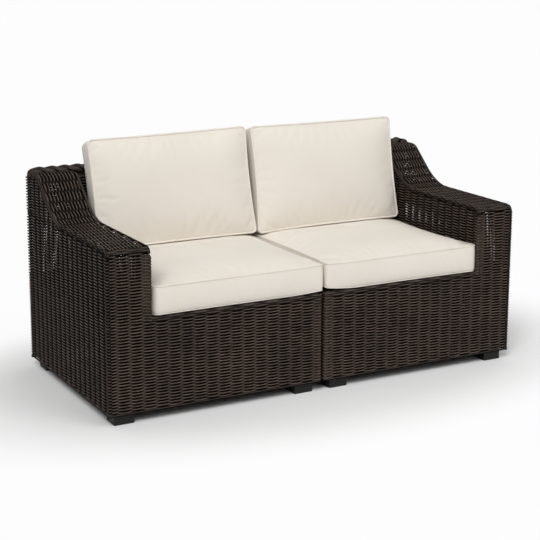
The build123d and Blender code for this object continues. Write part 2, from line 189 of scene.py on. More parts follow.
def makeCanvas(name, colour, pale):
    material, net = newMaterial(name)
    cloth = net.add("ShaderNodeUVMap", {"uv_map": "canvasPlace"})
    turns = canvasLook["threads"] * math.pi
    warp, weft = ((net.axis(cloth, letter) * turns).sine() for letter in "XY")
    slubs = net.noise(cloth, canvasLook["slubs"])
    cloud = net.noise(net.objectPlace(), canvasLook["cloud"])
    threads = warp * weft * 0.5 + 0.5
    net.surface(net.principled(
        Base_Color=net.mixColours(net.spread(cloud * 0.6 + slubs * 0.4), colour, pale),
        Roughness=canvasLook["roughness"] + (slubs - 0.5) * 0.1, Sheen_Weight=0.15, Sheen_Roughness=0.5,
        Normal=net.bump(threads * 0.6 + slubs * 0.8, 0.35, 0.0004)))
    return material


canvas = makeCanvas("ivoryCanvas", canvasLook["colour"], canvasLook["pale"])
canvasSeam = makeCanvas("ivorySeam", canvasLook["seam"], canvasLook["colour"])


def makeCoat():
    material, net = newMaterial("brownPowderCoat")
    peel = net.noise(net.objectPlace(), 700.0)
    patches = net.noise(net.objectPlace(), 12.0, 3.0)
    net.surface(net.principled(
        Base_Color=net.mixColours(patches, (0.050, 0.037, 0.030, 1), (0.075, 0.057, 0.046, 1)),
        Roughness=0.42 + (peel - 0.5) * 0.2, Normal=net.bump(peel, 0.2, 0.0003)))
    return material


def makeWebbing():
    material, net = newMaterial("blackWebbing")
    place = net.objectPlace()
    ribsX, ribsY = ((net.axis(place, letter) * 2500.0).sine() for letter in "XY")
    fuzz = net.noise(place, 500.0)
    net.surface(net.principled(
        Base_Color=net.mixColours(fuzz, (0.012, 0.012, 0.012, 1), (0.035, 0.034, 0.033, 1)),
        Roughness=0.8 + (fuzz - 0.5) * 0.2, Normal=net.bump(ribsX * ribsY * 0.5 + fuzz, 0.5, 0.0005)))
    return material


def makeFootPlastic():
    material, net = newMaterial("blackFootPlastic")
    stipple = net.noise(net.objectPlace(), 1400.0)
    scuffs = net.noise(net.objectPlace(), 30.0, 4.0, 0.7)
    net.surface(net.principled(
        Base_Color=net.mixColours(scuffs, (0.008, 0.008, 0.008, 1), (0.019, 0.018, 0.017, 1)),
        Roughness=0.5 + (scuffs - 0.5) * 0.3, Specular_IOR_Level=0.25,
        Normal=net.bump(stipple, 0.25, 0.0003)))
    return material


def makeSteel():
    material, net = newMaterial("stainlessScrew")
    brushed = net.noise(net.objectPlace(), 1200.0)
    net.surface(net.principled(
        Base_Color=net.mixColours(brushed, (0.50, 0.50, 0.51, 1), (0.62, 0.62, 0.63, 1)),
        Metallic=1.0, Roughness=0.3 + (brushed - 0.5) * 0.2, Normal=net.bump(brushed, 0.1, 0.0002)))
    return material


finishes = {
    "frame_aluminium": makeCoat(), "seat_strap": makeWebbing(), "foot_plastic": makeFootPlastic(),
    "foot_screw": makeSteel(), "wicker": wicker, "cushion_fabric": canvas,
}
for part in frame["record"]["subparts"]:
    node = frame["nodes"][part["node"]]
    node.data.materials.clear()
    node.data.materials.append(finishes[part["material_slot"]])
print("finishes made")


# Measures that the woven pieces share, in metres

form = {
    "depth": 0.762, "halfWidth": 0.815, "seamFace": 0.003, "bottom": 0.038, "seatRailTop": 0.358,
    "armHeight": 0.598, "backHeight": 0.740, "armInner": 0.659, "skin": 0.014, "lean": math.radians(12),
    "backFoot": 0.692, "backDeck": 0.726, "sweep": math.radians(41), "dipRadius": 0.240,
    "crestRadius": 0.050, "noseRadius": 0.028, "crestFlat": 0.0285, "rollSetback": 0.001,
    "cornerRadius": 0.012, "rollHeight": 0.026,
}
weaveSize = {
    "strandRadius": 0.0024, "stakeRadius": 0.0011, "rowPitch": 0.00526, "stakePitch": 0.0464,
    "ropeRadius": 0.0070, "ropeLay": 0.052, "borderRadius": 0.0027, "topPitch": 0.0062, "topRadius": 0.0027,
    "waveHeight": 0.0036, "flatterWaves": {"outer_side_weave": 0.0033, "arm_top_weave": 0.0031},
    # painted shade and light: each skin's strands are drawn darker (above 0) or lighter (below 0) for how
    # light falls on that face
    "paintedShades": {"outer_side_weave": 0.23, "arm_top_weave": 0.12, "arm_inner_weave": 0.08,
               "front_weave": -0.06},
    "rearSwell": 1.25, "looseShare": 0.1, "looseTop": 0.35, "wobble": 0.0009,
    "bulges": {"corner": 0.006, "seam": 0.0, "armCorner": 0.010, "staked": 0.009},
    "flatWave": 0.4, "borderWave": 0.35, "sideInset": 0.0122, "firstRowDrop": 0.003,
    "footDrop": 0.004, "footLift": 0.003, "stakeFoot": 0.004, "stakeStep": 0.002,
}
middle = form["skin"] / 2


def backFace(height):
    return form["backFoot"] - (form["backDeck"] - height) * math.tan(form["lean"])


rollFront = backFace(form["backDeck"] + form["rollHeight"] / 2) + form["rollSetback"]
crestStart = rollFront - form["crestFlat"]
armRise = form["backHeight"] - form["armHeight"]
bendRadii = form["dipRadius"] + form["crestRadius"]
slopeLength = (armRise - bendRadii * (1 - math.cos(form["sweep"]))) / math.sin(form["sweep"])
sweepStart = crestStart - bendRadii * math.sin(form["sweep"]) - slopeLength * math.cos(form["sweep"])


# Guides: flat paths that strands follow

cornerWeave = 0.3  # how much of the weave's wave is left at a corner, where the strands lie outside


# A guide bends its flat path part by part, and counts the stakes that it passes as phase
def makeGuide(start, heading, parts, samples=4):
    place, out, phase, weave = [], [], [], []
    x, y = start
    angle = math.radians(heading)
    turns = 0.0

    def note(px, py, a, p, w):
        place.append((px, py))
        out.append((math.sin(a), -math.cos(a)))
        phase.append(p)
        weave.append(w)

    for kind, size, amount in parts:
        if kind == "run":  # a straight run of that length, over that many bays
            count = max(1, int(round(amount * samples)))
            for step in range(count + 1):
                share = step / count
                note(x + size * share * math.cos(angle), y + size * share * math.sin(angle), angle,
                     turns + amount * share, 1.0)
            x += size * math.cos(angle)
            y += size * math.sin(angle)
            turns += amount
        else:  # a bend: the weave follows a wide one, and at a tight one it lies outside or has its own stake
            bulge = weaveSize["bulges"].get(kind)
            wide = bulge is None
            sweepAngle = math.radians(amount)
            hand = 1 if sweepAngle > 0 else -1
            cx, cy = x - hand * size * math.sin(angle), y + hand * size * math.cos(angle)
            bays = abs(sweepAngle) * size / weaveSize["stakePitch"] if wide else 0.0
            count = max(2, int(math.ceil(bays * samples))) if wide else 4
            for step in range(count + 1):
                a = angle + sweepAngle * step / count
                around = size if wide else size + bulge * math.sin(math.pi * step / count)
                note(cx + hand * around * math.sin(a), cy - hand * around * math.cos(a), a,
                     turns + bays * step / count, 1.0 if wide else 0.6 if kind == "staked" else 0.0)
            angle += sweepAngle
            turns += bays
            x, y = cx + hand * size * math.sin(angle), cy - hand * size * math.cos(angle)
    place = np.array(place)
    steps = np.linalg.norm(np.diff(place, axis=0), axis=1)
    keep = np.concatenate(([True], steps > 1e-6))
    place, out = place[keep], np.array(out)[keep]
    phase, weave = np.array(phase)[keep], np.array(weave)[keep]
    run = np.concatenate(([0.0], np.cumsum(np.linalg.norm(np.diff(place, axis=0), axis=1))))
    corners = run[weave < 0.5]
    if len(corners):  # near a corner the strands leave the weave and lie outside it
        away = np.min(np.abs(run[:, None] - corners[None, :]), axis=1)
        weave = np.clip(cornerWeave + (away - 0.002) / 0.026, cornerWeave, 1)
    return {"run": run, "place": place, "out": out, "phase": phase, "weave": weave, "length": run[-1]}


# A layout says where a guide's plane lies: its origin and three directions, the third across the strands
def layout(origin, first, second, across):
    return tuple(np.array(v, float) for v in (origin, first, second, across))


leanSin, leanCos = math.sin(form["lean"]), math.cos(form["lean"])
level = layout((0, 0, 0), (1, 0, 0), (0, 1, 0), (0, 0, 1))
upArm = layout((0, 0, 0), (0, 1, 0), (0, 0, 1), (1, 0, 0))
leaning = layout((0, backFace(form["seatRailTop"]), form["seatRailTop"]), (1, 0, 0),
                 (0, leanCos, -leanSin), (0, leanSin, leanCos))


def along(guide, plane, at, offset, lift):  # places on a guide, and which way its face looks there
    place, out = (np.stack([np.interp(at, guide["run"], guide[key][:, k]) for k in (0, 1)], axis=1)
                  for key in ("place", "out"))
    origin, first, second, across = plane
    faceOut = out[:, :1] * first + out[:, 1:] * second
    return origin + place[:, :1] * first + place[:, 1:] * second + offset * across + faceOut * lift, faceOut


class Bundle:  # the strands of one woven piece, kept until Geometry Nodes make them round
    def __init__(self):
        self.points, self.edges, self.faceOut, self.strand = [], [], [], []
        self.phase, self.weave, self.tight = [], [], []
        self.count = 0

    def add(self, points, faceOut, phase=0.0, weave=0.0, tight=1.0):
        number = len(points)
        run = np.concatenate(([0.0], np.cumsum(np.linalg.norm(np.diff(points, axis=0), axis=1))))
        index = np.arange(number - 1) + self.count
        self.points.append(points)
        self.edges.append(np.stack([index, index + 1], axis=1))
        self.faceOut.append(faceOut)
        for values, value in ((self.phase, phase), (self.weave, weave), (self.tight, tight)):
            values.append(np.broadcast_to(value, number))
        chain = len(self.points)
        self.strand.append(np.stack([run, np.full(number, chain * 0.731), np.zeros(number)], axis=1))
        self.count += number

    # one strand along a guide, between two places on it
    def row(self, guide, plane, offset, start=0.0, end=None, parity=0, lift=0.0, flat=False, wave=1.0,
            tight=1.0):
        end = guide["length"] if end is None else end
        if end - start < 0.004:
            return
        run = guide["run"]
        at = np.concatenate(([start], run[(run > start + 0.001) & (run < end - 0.001)], [end]))
        points, faceOut = along(guide, plane, at, offset, lift)
        phase = np.interp(at, run, guide["phase"]) + parity
        weave = np.interp(at, run, guide["weave"]) if not flat else 0.0
        if "tight" in guide:
            tight = np.interp(at, run, guide["tight"])
        self.add(points, faceOut * (0 if flat else wave), phase, weave, tight)

    # a rope of two strands along a guide
    def rope(self, guide, plane, offset, start=0.0, lift=0.0):
        end, lay = guide["length"], weaveSize["ropeLay"]
        at = np.linspace(start, end, max(3, int((end - start) / (lay / 10)) + 1))
        base, faceOut = along(guide, plane, at, offset, lift)
        for number in range(2):
            angle = 2 * math.pi * (at / lay + number / 2)
            turned = np.cos(angle)[:, None] * faceOut + np.sin(angle)[:, None] * plane[3]
            self.add(base + ropeCore / 2 * turned, faceOut * 0)

    def stake(self, low, high):
        self.add(np.array([low, high], float), np.zeros((2, 3)))


def makeStrandTree():
    tree = bpy.data.node_groups.new("roundStrands", "GeometryNodeTree")
    sockets = {}
    for name, kind, default in (
            ("Strands", "NodeSocketGeometry", None), ("Strand Radius", "NodeSocketFloat", 0.0025),
            ("Wave Height", "NodeSocketFloat", 0.0045), ("Rear Swell", "NodeSocketFloat", 0.0),
            ("Shade", "NodeSocketFloat", 0.0), ("Wobble", "NodeSocketFloat", 0.0004),
            ("Sides", "NodeSocketInt", 6), ("Seed", "NodeSocketFloat", 0.0),
            ("Finish", "NodeSocketMaterial", None)):
        sockets[name] = tree.interface.new_socket(name=name, in_out="INPUT", socket_type=kind)
        if default is not None:
            sockets[name].default_value = default
    tree.interface.new_socket(name="Strands", in_out="OUTPUT", socket_type="NodeSocketGeometry")
    net = Net(tree)
    given = tree.nodes.new("NodeGroupInput")

    def take(name):
        return Link(net, given.outputs[name])

    def read(name, kind):
        return net.add("GeometryNodeInputNamedAttribute", {"data_type": kind}, {"Name": name})

    curve = net.add("GeometryNodeMeshToCurve", {}, {"Mesh": take("Strands")})
    phase, weave, tight = (read(name, "FLOAT") for name in ("phase", "weave", "tight"))
    faceOut, strandPlace = (read(name, "FLOAT_VECTOR") for name in ("faceOut", "strandPlace"))
    wave = (phase * math.pi).cosine()
    ahead = 1 - weave + weave * wave
    lift = net.vector("SCALE", faceOut, ahead * take("Wave Height"))
    strand = net.vector("ADD", strandPlace, net.add("ShaderNodeCombineXYZ", {}, {"Z": take("Seed")}))
    shake = net.add("ShaderNodeTexNoise", {}, {"Vector": strand, "Scale": 21.0, "Detail": 1.0}, out="Color")
    shift = net.vector("SCALE", net.vector("SUBTRACT", shake, (0.5, 0.5, 0.5)), take("Wobble"))
    # painted shade: front is low behind a stake, 0.3 lower where strands leave the weave at corners and
    # borders, and lower by the piece's Shade; the wicker material paints low values dark
    front = 0.5 + 0.5 * ahead - 0.3 * (1 - weave) - take("Shade")
    marked = net.add("GeometryNodeStoreNamedAttribute", {"data_type": "FLOAT", "domain": "POINT"},
                     {"Geometry": curve, "Name": "front", "Value": front})
    moved = net.add("GeometryNodeSetPosition", {}, {
        "Geometry": marked, "Offset": net.vector("ADD", lift, shift)})
    behind = 0.5 * weave * (1 - wave)
    swell = 1 + behind ** 3 * tight * take("Rear Swell")  # rows are packed behind the stakes
    swell = swell + 0.6 * weave * (1 - weave)  # and thicker where they leave the weave for a corner
    swell = swell + 0.12 * weave * (1 - wave * wave)  # closes the slits beside the stakes
    section = net.add("GeometryNodeCurvePrimitiveCircle", {}, {
        "Resolution": take("Sides"), "Radius": take("Strand Radius")})
    rod = net.add("GeometryNodeCurveToMesh", {}, {
        "Curve": moved, "Profile Curve": section, "Scale": swell, "Fill Caps": True})
    # painted shade: facing compares each normal with a direction up and out of the face, and the wicker
    # material paints low values dark
    outward = net.vector("NORMALIZE", net.vector("ADD", faceOut, (0.0, 0.0, 0.7)))
    facing = net.vector("DOT_PRODUCT", net.add("GeometryNodeInputNormal"), outward)
    rod = net.add("GeometryNodeStoreNamedAttribute", {"data_type": "FLOAT", "domain": "POINT"},
                  {"Geometry": rod, "Name": "facing", "Value": facing})
    smooth = net.add("GeometryNodeSetShadeSmooth", {}, (rod,))
    whole = net.add("GeometryNodeRealizeInstances", {}, (smooth,))
    done = net.add("GeometryNodeSetMaterial", {}, {"Geometry": whole, "Material": take("Finish")})
    net.add("NodeGroupOutput", {}, (done,))
    return tree


strandTree = makeStrandTree()


def strandMesh(name, bundle, sign, radius, height=0.0, swell=0.0, wobble=0.0, around=6, seed=0.0,
               finish=None, shade=0.0, shift=True):
    mesh = bpy.data.meshes.new(name)
    points = np.concatenate(bundle.points) * (sign, 1, 1) - (0, form["depth"] / 2 if shift else 0, 0)
    edges = np.concatenate(bundle.edges)
    mesh.vertices.add(len(points))
    mesh.vertices.foreach_set("co", points.astype(np.float32).ravel())
    mesh.edges.add(len(edges))
    mesh.edges.foreach_set("vertices", edges.astype(np.int32).ravel())
    for label, kind, values in (
            ("faceOut", "FLOAT_VECTOR", np.concatenate(bundle.faceOut) * (sign, 1, 1)),
            ("strandPlace", "FLOAT_VECTOR", np.concatenate(bundle.strand)),
            ("phase", "FLOAT", np.concatenate(bundle.phase)),
            ("weave", "FLOAT", np.concatenate(bundle.weave)),
            ("tight", "FLOAT", np.concatenate(bundle.tight))):
        attribute = mesh.attributes.new(label, kind, "POINT")
        attribute.data.foreach_set("vector" if kind == "FLOAT_VECTOR" else "value",
                                   values.astype(np.float32).ravel())
    holder = newObject(name + ".guide", mesh)
    modifier = holder.modifiers.new("strands", "NODES")
    modifier.node_group = strandTree
    inputs = {item.name: item.identifier for item in strandTree.interface.items_tree
              if item.in_out == "INPUT"}
    for label, value in (("Strand Radius", radius), ("Wave Height", height), ("Rear Swell", swell),
                         ("Shade", shade), ("Wobble", wobble), ("Sides", around), ("Seed", seed),
                         ("Finish", finish)):
        modifier[inputs[label]] = value
    graph = bpy.context.evaluated_depsgraph_get()
    made = bpy.data.meshes.new_from_object(holder.evaluated_get(graph), depsgraph=graph)
    bpy.data.objects.remove(holder)
    for label in ("faceOut", "phase", "weave", "tight"):
        if label in made.attributes:
            made.attributes.remove(made.attributes[label])
    return made


def joinMeshes(name, meshes):
    objects = [newObject(name, mesh) for mesh in meshes]
    if len(objects) > 1:
        with bpy.context.temp_override(active_object=objects[0], object=objects[0],
                                       selected_objects=objects, selected_editable_objects=objects):
            bpy.ops.object.join()
    objects[0].name = name
    return objects[0]


# Woven skins

ropeCore = weaveSize["ropeRadius"]
rowStart = form["bottom"] + ropeCore + weaveSize["strandRadius"] - weaveSize["firstRowDrop"]
cornerRun = form["cornerRadius"] - middle  # the middle of the skin turns its corners with this radius
low, high = form["seamFace"] + middle, form["halfWidth"] - middle
near, far = middle, form["depth"] - middle
runX = high - low - 2 * cornerRun
runY = far - near - 2 * cornerRun
baysX = round(runX / weaveSize["stakePitch"])
baysY = round(runY / weaveSize["stakePitch"])

frontGuide = makeGuide((low, near + cornerRun), 270, [("seam", cornerRun, 90), ("run", runX, baysX)])
sideGuide = makeGuide((high - cornerRun, near), 0, [
    ("corner", cornerRun, 90), ("run", runY, baysY), ("staked", cornerRun, 90)])
backGuide = makeGuide((high - cornerRun, far), 180, [("run", runX, baysX), ("corner", cornerRun, 90)])
seamGuide = makeGuide((low, far - cornerRun), 270, [("run", runY, baysY)])
armMiddle = form["armInner"] + middle
stakeX = runX / baysX
stakeY = runY / baysY
stakesX = [low + cornerRun + bay * stakeX for bay in range(baysX + 1)]
stakesY = [near + cornerRun + bay * stakeY for bay in range(baysY + 1)]
stakeFoot = form["bottom"] + weaveSize["stakeFoot"]
armFrontBays = (high - cornerRun - armMiddle - cornerRun) / stakeX
armFrontGuide = makeGuide((armMiddle, near + cornerRun), 270, [
    ("armCorner", cornerRun, 90), ("run", high - armMiddle - 2 * cornerRun, armFrontBays)])
armFrontGuide["phase"] = armFrontGuide["phase"] + (baysX - armFrontBays)


def sweepPlace(height, inset):  # how far back the arm's top line is at that height, below its surface
    dip, crest = form["dipRadius"] + inset, form["crestRadius"] - inset
    dipCentre, crestCentre = form["armHeight"] + form["dipRadius"], form["backHeight"] - form["crestRadius"]
    dipEnd = dipCentre - dip * math.cos(form["sweep"])
    crestBegin = crestCentre + crest * math.cos(form["sweep"])
    if height <= dipEnd:
        return sweepStart + dip * math.sin(math.acos(min(1, (dipCentre - height) / dip)))
    if height <= crestBegin:
        return sweepStart + dip * math.sin(form["sweep"]) + (height - dipEnd) / math.tan(form["sweep"])
    return crestStart - crest * math.sin(math.acos(min(1, max(-1, (height - crestCentre) / crest))))


def armTopFront(height, inset):  # where a level row on the arm's side starts, under its top
    flat = form["armHeight"] - inset
    noseCentre = form["armHeight"] - form["noseRadius"]
    if height <= noseCentre:
        return None
    if height < flat:
        nose = form["noseRadius"] - inset
        return form["noseRadius"] - math.sqrt(max(0, nose ** 2 - (height - noseCentre) ** 2))
    return sweepPlace(height, inset)


def nosePlane(angle, depth):  # where a strand across the nose lies, at that angle up from the front
    turn = math.radians(angle)
    reach = form["noseRadius"] - depth
    origin = (0, form["noseRadius"] - reach * math.cos(turn),
              form["armHeight"] - form["noseRadius"] + reach * math.sin(turn))
    return layout(origin, (1, 0, 0), (0, math.cos(turn), -math.sin(turn)), (0, 0, 1))


def packed(height):  # the arms' weave is looser, and lets some light through beside its stakes
    return 1.0 if height < form["seatRailTop"] else weaveSize["looseShare"]


def rowHeights(top):
    count = int((top - rowStart) / weaveSize["rowPitch"]) + 1
    return [(number, rowStart + number * weaveSize["rowPitch"]) for number in range(count)]


def eased(guide):  # for a border: the same path with a slighter wave
    return dict(guide, weave=guide["weave"] * weaveSize["borderWave"])


def layFoot(borders, guide):  # the border along the bottom
    borders.row(guide, level, form["bottom"] + ropeCore / 2 - weaveSize["footDrop"],
                lift=weaveSize["footLift"], flat=True)


sideInset = weaveSize["sideInset"]


def stakeTop(y):  # how high a stake on the arm's side reaches
    top = form["armHeight"] - sideInset
    step = form["armHeight"]
    while step < form["backDeck"] and sweepPlace(step, sideInset) < y:
        top = step
        step += weaveSize["stakeStep"]
    return top


frontSize = {  # rows climb the nose by so many degrees, and its strands lie at three more angles
    "noseRows": 24, "noseStrands": (33, 46, 58), "noseShort": 0.004, "railDrop": 0.001, "railLift": 0.002,
    "railPlaces": (0.25, 0.75), "railWave": 0.5, "lipStart": 0.014, "lipRow": 0.0175, "lipRows": 4,
}


def weaveFront(rows, posts, borders):
    railRow = form["seatRailTop"] - 2 * ropeCore + 0.0005
    armTop = form["armHeight"] - form["noseRadius"]
    noseTurn = form["noseRadius"] - middle
    across = makeGuide((form["armInner"], 0), 0, [
        ("run", form["halfWidth"] - form["armInner"] - frontSize["noseShort"], armFrontBays)])
    across["phase"] = (across["place"][:, 0] - low - cornerRun) / stakeX
    for number, height in rowHeights(armTop + noseTurn * math.radians(frontSize["noseRows"])):
        if height > armTop:
            angle = math.degrees((height - armTop) / noseTurn)
            rows.row(across, nosePlane(angle, middle), 0.0, parity=number, tight=packed(height))
        elif height < railRow:
            last = height > railRow - weaveSize["rowPitch"]  # the row just under the rail lies flatter
            rows.row(frontGuide, level, height, parity=number, wave=weaveSize["flatWave"] if last else 1.0)
        else:
            rows.row(armFrontGuide, level, height, parity=number, tight=packed(height))
    for x in stakesX:
        top = armTop if x > armMiddle - 0.01 else railRow
        posts.stake((x, near, stakeFoot), (x, near, top + 0.004))
    layFoot(borders, frontGuide)
    railEnd = frontGuide["length"] - (high - cornerRun - armMiddle) + 0.004
    for number, deep in enumerate(frontSize["railPlaces"]):
        height = form["seatRailTop"] - 2 * ropeCore * deep - frontSize["railDrop"]
        borders.row(eased(frontGuide), level, height, end=railEnd, parity=number, lift=frontSize["railLift"],
                    wave=frontSize["railWave"])
    for number, angle in enumerate(frontSize["noseStrands"]):  # brown strands that close the nose
        borders.row(eased(across), nosePlane(angle, weaveSize["borderRadius"]), 0.0, parity=number,
                    wave=weaveSize["flatWave"])
    lip = makeGuide((form["seamFace"] + frontSize["lipStart"], 0), 0, [
        ("run", form["armInner"] - form["seamFace"] - frontSize["lipStart"], baysX - 3)])
    top = layout((0, 0, form["seatRailTop"] - middle), (1, 0, 0), (0, 0, -1), (0, 1, 0))
    for number in range(frontSize["lipRows"]):
        rows.row(lip, top, frontSize["lipRow"] + number * weaveSize["rowPitch"], parity=number)


def weaveOuterSide(rows, posts, borders):
    corner = frontGuide["run"][4]
    for number, height in rowHeights(form["backDeck"] + 0.002):
        begin = armTopFront(height, sideInset)
        start = 0.0 if begin is None else max(0.0, corner + begin - near - cornerRun)
        edge = 0 < form["armHeight"] - height < 0.018  # the rows just under the arm's edge lie flatter
        rows.row(sideGuide, level, height, start=start, parity=number, tight=packed(height),
                 wave=weaveSize["flatWave"] if edge else 1.0)
    for y in stakesY:
        posts.stake((high, y, stakeFoot), (high, y, stakeTop(y)))
    layFoot(borders, sideGuide)


def weaveBackOuter(rows, posts, borders):
    looseEnd = dict(backGuide, tight=np.where(backGuide["run"] < 0.15, weaveSize["looseShare"], 1.0))
    for number, height in rowHeights(form["backDeck"] - 0.004):
        rows.row(looseEnd if height > form["seatRailTop"] else backGuide, level, height, parity=number)
    for x in stakesX:
        posts.stake((x, far, stakeFoot), (x, far, form["backDeck"]))
    layFoot(borders, backGuide)


def weaveSeamSide(rows, posts, borders):
    railRow = form["seatRailTop"] - 2 * ropeCore
    for number, height in rowHeights(form["backDeck"] - 0.004):
        end = None if height < railRow else far - cornerRun - backFace(height) - 0.008
        rows.row(seamGuide, level, height, end=end, parity=number)
    for bay in range(baysY + 1):
        y = far - cornerRun - bay * stakeY
        top = railRow
        if y > backFace(form["seatRailTop"]):
            top = form["backDeck"] - max(0, backFace(form["backDeck"]) - y) / math.tan(form["lean"]) - 0.01
        posts.stake((low, y, stakeFoot), (low, y, top))
    layFoot(borders, seamGuide)
    borders.rope(seamGuide, level, form["seatRailTop"] - ropeCore,
                 start=far - cornerRun - backFace(form["seatRailTop"]))
    edgeFoot = form["seatRailTop"] - 0.014
    edge = makeGuide((backFace(edgeFoot), edgeFoot), 78, [
        ("run", (form["backDeck"] - form["seatRailTop"] + 0.014) / leanCos, 8)])
    borders.rope(edge, upArm, low, lift=-middle)


def weaveArmInner(rows, posts, borders):
    for number, height in rowHeights(form["backDeck"] - 0.004):
        if height < form["seatRailTop"] - form["skin"]:
            continue
        begin = armTopFront(height, sideInset) or near + cornerRun
        finish = backFace(height) + 0.004
        span = finish - near - cornerRun
        guide = makeGuide((armMiddle, finish), 270, [("run", span, span / stakeY)])
        guide["phase"] = (finish - guide["run"] - near - cornerRun) / stakeY
        toFront = guide["length"] - guide["run"]
        guide["weave"] = np.clip(cornerWeave + (toFront - 0.002) / 0.018, cornerWeave, 1)
        rows.row(guide, level, height, end=min(guide["length"], finish - begin), parity=number,
                 tight=packed(height))
    for y in stakesY[1:]:
        top, base = stakeTop(y), form["seatRailTop"] - 0.01
        if y > backFace(form["seatRailTop"]):
            base = form["backDeck"] - (backFace(form["backDeck"]) - y) / math.tan(form["lean"]) + 0.004
        if top - base > 0.01:
            posts.stake((armMiddle, y, base), (armMiddle, y, top))


def weaveBackInner(rows, posts, borders):
    width = armMiddle - middle - low + 0.002
    guide = makeGuide((low + cornerRun, 0), 0, [("run", width, width / stakeX)])
    rise = (form["backDeck"] - form["seatRailTop"]) / leanCos
    count = int(rise / weaveSize["rowPitch"]) - 1
    for number in range(-2, count):
        rows.row(guide, leaning, (number + 0.6) * weaveSize["rowPitch"], parity=number, lift=-middle)
    for x in stakesX:
        if x < armMiddle:
            foot = leaning[0] + leaning[2] * middle
            posts.stake(foot + (x, 0, 0), foot + (x, 0, 0) + leaning[3] * (rise - 0.004))


armGuide = makeGuide((middle, form["armHeight"] - form["noseRadius"]), 90, [
    ("bend", form["noseRadius"] - middle, -90),
    ("run", sweepStart - form["noseRadius"], (sweepStart - form["noseRadius"]) / weaveSize["stakePitch"]),
    ("bend", form["dipRadius"] + middle, 41), ("run", slopeLength, slopeLength / weaveSize["stakePitch"]),
    ("bend", form["crestRadius"] - middle, -41), ("run", form["crestFlat"] + 0.012, 0.9)], samples=5)
armGuide["out"] = -armGuide["out"]  # the strands' outer side is up
armTopSize = {  # edge strands lie so far in from the arm's side and below its top
    "edge": 0.0125, "stakeEnd": 0.006, "lift": 0.002, "noseTurn": 50, "innerShift": 0.004, "overlap": 0.02,
    "wovenEdge": ((0.0030, 0.0092), (0.0048, 0.0038), (0.0096, 0.0016)),
    "slopeEdge": ((0.0032, 0.0110), (0.0036, 0.0058), (0.0084, 0.0034)),
}


def weaveArmTop(rows, posts, borders):
    edge = armTopSize["edge"]
    width = form["halfWidth"] - form["armInner"] - 2 * edge
    count = int(width / weaveSize["topPitch"])
    noseEnd = (form["noseRadius"] - middle) * math.radians(armTopSize["noseTurn"])
    for number in range(count + 1):
        rows.row(armGuide, upArm, form["armInner"] + edge + width * number / count, start=noseEnd,
                 parity=number, lift=armTopSize["lift"], tight=weaveSize["looseTop"])
    for bay in range(1, int(armGuide["phase"][-1]) + 1):
        y, z = (np.interp(bay, armGuide["phase"], armGuide["place"][:, k]) for k in (0, 1))
        posts.stake((form["armInner"] + armTopSize["stakeEnd"], y, z),
                    (form["halfWidth"] - armTopSize["stakeEnd"], y, z))
    edgeGuide = dict(eased(armGuide), phase=armGuide["phase"] * 2)
    flatEnd = np.interp(sweepStart + 0.03, armGuide["place"][:, 0], armGuide["run"])
    for side, face in ((1, form["armInner"] - armTopSize["innerShift"]), (-1, form["halfWidth"])):
        for number, (inward, deep) in enumerate(armTopSize["wovenEdge"]):
            rows.row(edgeGuide, upArm, face + side * inward, start=0.004, end=flatEnd, parity=number,
                     lift=middle - deep, wave=weaveSize["flatWave"])
        for inward, deep in armTopSize["slopeEdge"]:
            borders.row(armGuide, upArm, face + side * inward, start=flatEnd - armTopSize["overlap"],
                        lift=middle - deep, flat=True)


skins = {
    "front_weave": weaveFront, "outer_side_weave": weaveOuterSide, "arm_inner_weave": weaveArmInner,
    "arm_top_weave": weaveArmTop, "back_outer_weave": weaveBackOuter, "back_inner_weave": weaveBackInner,
    "seam_side_weave": weaveSeamSide,
}


def settle(piece, body, slotName, *nodes):
    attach(piece, body)
    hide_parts(*nodes)
    return piece


for index, (skinName, build) in enumerate(skins.items()):
    rows, posts, borders = Bundle(), Bundle(), Bundle()
    build(rows, posts, borders)
    height = weaveSize["flatterWaves"].get(skinName, weaveSize["waveHeight"])
    onTop = skinName == "arm_top_weave"
    for sideName, sign in sides.items():
        name = f"{sideName}_{skinName}_strands"
        seed = index + (0.5 if sign > 0 else 0.0)
        radius = weaveSize["topRadius"] if onTop else weaveSize["strandRadius"]
        meshes = [strandMesh(name, rows, sign, radius, height, weaveSize["rearSwell"], weaveSize["wobble"], 6,
                             seed, wicker, weaveSize["paintedShades"].get(skinName, 0.0))]
        if posts.points:
            meshes.append(strandMesh(name, posts, sign, weaveSize["stakeRadius"], around=5, finish=wicker))
        if borders.points:
            radius = weaveSize["borderRadius"] if onTop else ropeCore / 2
            meshes.append(strandMesh(name, borders, sign, radius, height, around=7, finish=wickerBorder))
        piece = joinMeshes(name, meshes)
        settle(piece, f"{sideName}_module", "wicker", f"{sideName}_{skinName}")
        print(name, len(piece.data.polygons), "faces")


# Plaited roll along the top of the back

plait = {
    "bundles": 3, "lay": 0.147, "halfDepth": 0.0335, "halfHeight": 0.0130, "strandRadius": 0.0029,
    "strands": 7, "bulge": 0.0060, "pulse": 0.18, "edgePhases": (0.85, 0.5), "samples": 30,
    "endBend": 0.013, "lift": 0.001, "core": 0.0080, "corePlaces": (-0.019, 0.0, 0.019), "overhang": 0.003,
    "start": 0.004, "shade": 0.3,
}


